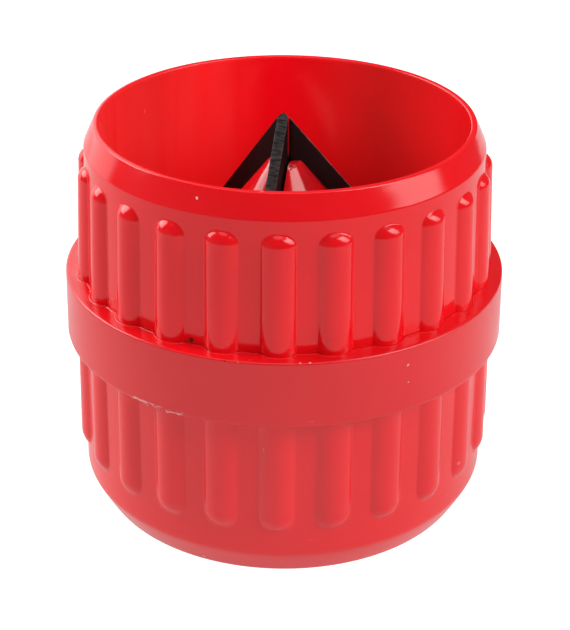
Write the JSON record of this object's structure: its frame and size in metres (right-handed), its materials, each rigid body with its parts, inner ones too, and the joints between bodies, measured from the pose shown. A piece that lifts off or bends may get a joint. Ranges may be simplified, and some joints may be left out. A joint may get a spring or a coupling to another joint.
{
  "type": "deburring tool",
  "caption": "Drum-shaped inner and outer tube deburring tool: ribbed plastic cups joined under a plain band, black steel blades on a cone above and in a funnel below.",
  "frame": {"origin": "centre of the ring-shaped foot, on the plane the tool stands on", "axes": "+Z along the drum's axis, from the funnel mouth up to the rim of the cone cup; -Y is the side nearest blade_1"},
  "size_m": [0.0604, 0.0604, 0.0547],
  "materials": {
    "shell_gloss": "glossy moulded",
    "shell_satin": "satin moulded",
    "ring_satin": "satin moulded",
    "cone_gloss": "glossy moulded",
    "funnel_satin": "satin moulded",
    "blade_steel": "black oxide, ground edges",
    "pin_steel": "drawn"
  },
  "bodies": {
    "root": {"upper_shell": "shell_gloss", "lower_shell": "shell_satin", "grip_ring": "ring_satin", "reaming_cone": "cone_gloss", "reaming_funnel": "funnel_satin", "blade_1": "blade_steel", "blade_2": "blade_steel", "blade_3": "blade_steel", "blade_pin_1": "pin_steel", "blade_pin_2": "pin_steel", "blade_pin_3": "pin_steel"}
  },
  "joints": []
}
